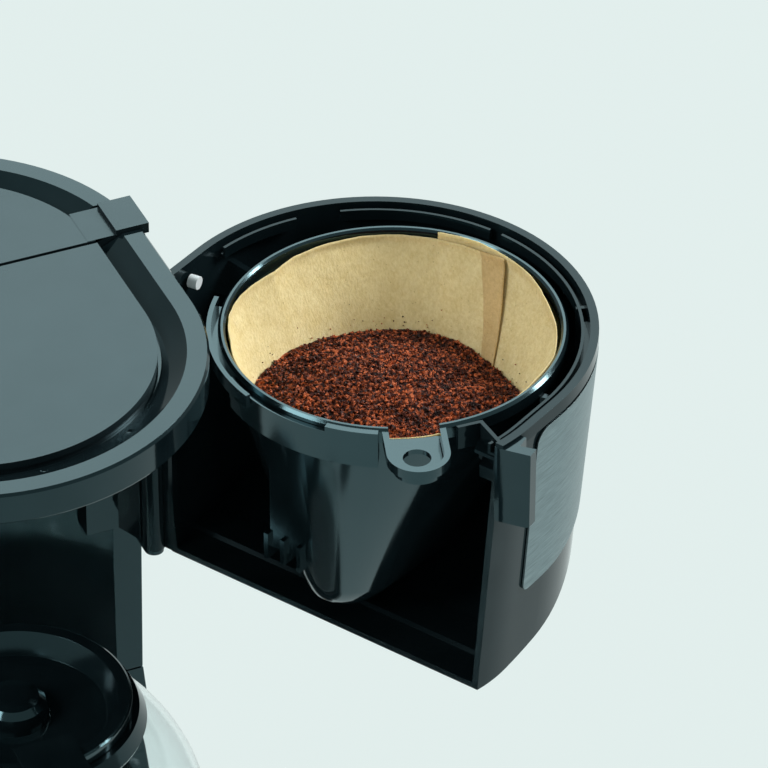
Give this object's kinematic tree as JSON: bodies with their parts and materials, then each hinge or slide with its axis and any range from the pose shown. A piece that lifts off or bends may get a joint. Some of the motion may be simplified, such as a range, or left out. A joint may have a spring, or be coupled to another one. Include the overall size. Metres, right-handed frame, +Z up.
{
  "type": "drip coffee maker",
  "caption": "Drip coffee maker with a rear water tank, hinged lid, round head, filter holder that swings out to the side, warming plate and lidded glass jug.",
  "frame": {"origin": "on the table under the middle of the head, in the plane of the feet", "axes": "+Z up, -Y towards the user, +X to the user's right, the side the filter holder swings out to"},
  "size_m": [0.3105, 0.2685, 0.3166],
  "materials": {
    "black_gloss": "glossy moulded plastic",
    "black_matte": "satin moulded plastic",
    "rubber_black": "matte",
    "seal_red": "silicone",
    "silicone_clear": "milky silicone",
    "white_plastic": "satin",
    "grey_plastic": "satin",
    "amber_plastic": "translucent moulding",
    "red_plastic": "glossy",
    "plate_coating": "non-stick coating",
    "heater_alloy": "extruded",
    "thermostat_body": "moulded",
    "steel": "plated steel",
    "brushed_steel": "brushed round the holder",
    "filter_paper": "unbleached creped paper",
    "ground_coffee": null,
    "glass": "clear",
    "window": "clear plastic window"
  },
  "bodies": {
    "machine": {"base_housing": "black_gloss", "bottom_cover": "black_matte", "rubber_feet": "rubber_black", "bottom_screws": "steel", "hot_plate": "plate_coating", "plate_seal": "rubber_black", "heater_tube": "heater_alloy", "thermostat": "thermostat_body", "thermal_fuse": "thermostat_body", "supply_hose": "silicone_clear", "check_valve": "white_plastic", "riser_tube": "silicone_clear", "tank_housing": "black_gloss", "level_window": "window", "hinge_block": "black_matte", "latch_block": "black_matte", "carrier_pin": "steel", "head_ring": "black_gloss", "head_floor": "black_matte", "front_cover": "black_gloss", "outlet_arm": "grey_plastic", "lid_pin": "steel", "switch_bezel": "black_matte", "pilot_lamp": "amber_plastic", "cord_gland": "rubber_black"},
    "tank_lid": {"tank_lid": "black_gloss"},
    "switch": {"switch_rocker": "red_plastic"},
    "carrier": {"carrier_shell": "black_gloss", "steel_panel": "brushed_steel", "latch_clip": "black_gloss", "stop_pin": "white_plastic"},
    "basket": {"filter_basket": "black_matte", "valve_seal": "seal_red", "plunger_spring": "steel"},
    "plunger": {"drip_plunger": "white_plastic"},
    "filter": {"paper_filter": "filter_paper", "coffee_grounds": "ground_coffee"},
    "jug": {"jug_glass": "glass", "jug_collar": "black_gloss", "jug_handle": "black_gloss", "handle_screw": "steel", "jug_lid_pin": "steel"},
    "jug_lid": {"jug_lid": "black_gloss"}
  },
  "joints": [
    {"name": "carrier_swing", "type": "hinge", "parent": "machine", "child": "carrier", "pos_m": [0.077, 0.0063, 0.24], "axis": [0, 0, 1], "range_deg": [-120.7, 0]},
    {"name": "tank_lid_flip", "type": "hinge", "parent": "machine", "child": "tank_lid", "pos_m": [0, 0.082, 0.3123], "axis": [-1, 0, 0], "range_deg": [0, 95]},
    {"name": "switch_rock", "type": "hinge", "parent": "machine", "child": "switch", "pos_m": [0.083, -0.006, 0.026], "axis": [0, 0, 1], "range_deg": [-14, 0]},
    {"name": "basket_lift", "type": "slide", "parent": "carrier", "child": "basket", "axis": [0, 0, 1], "range_m": [0, 0.12]},
    {"name": "drip_stop", "type": "slide", "parent": "basket", "child": "plunger", "axis": [0, 0, 1], "range_m": [0, 0.003], "stiffness_N_per_m": 120, "springref_m": -0.003, "deforming": ["plunger_spring"]},
    {"name": "filter_lift", "type": "slide", "parent": "basket", "child": "filter", "axis": [0, 0, 1], "range_m": [0, 0.12]},
    {"name": "jug_slide", "type": "slide", "parent": "machine", "child": "jug", "axis": [0, 1, 0], "range_m": [-0.2, 0]},
    {"name": "jug_lid_flip", "type": "hinge", "parent": "jug", "child": "jug_lid", "pos_m": [0, -0.1076, 0.1796], "axis": [1, 0, 0], "range_deg": [0, 75]}
  ]
}
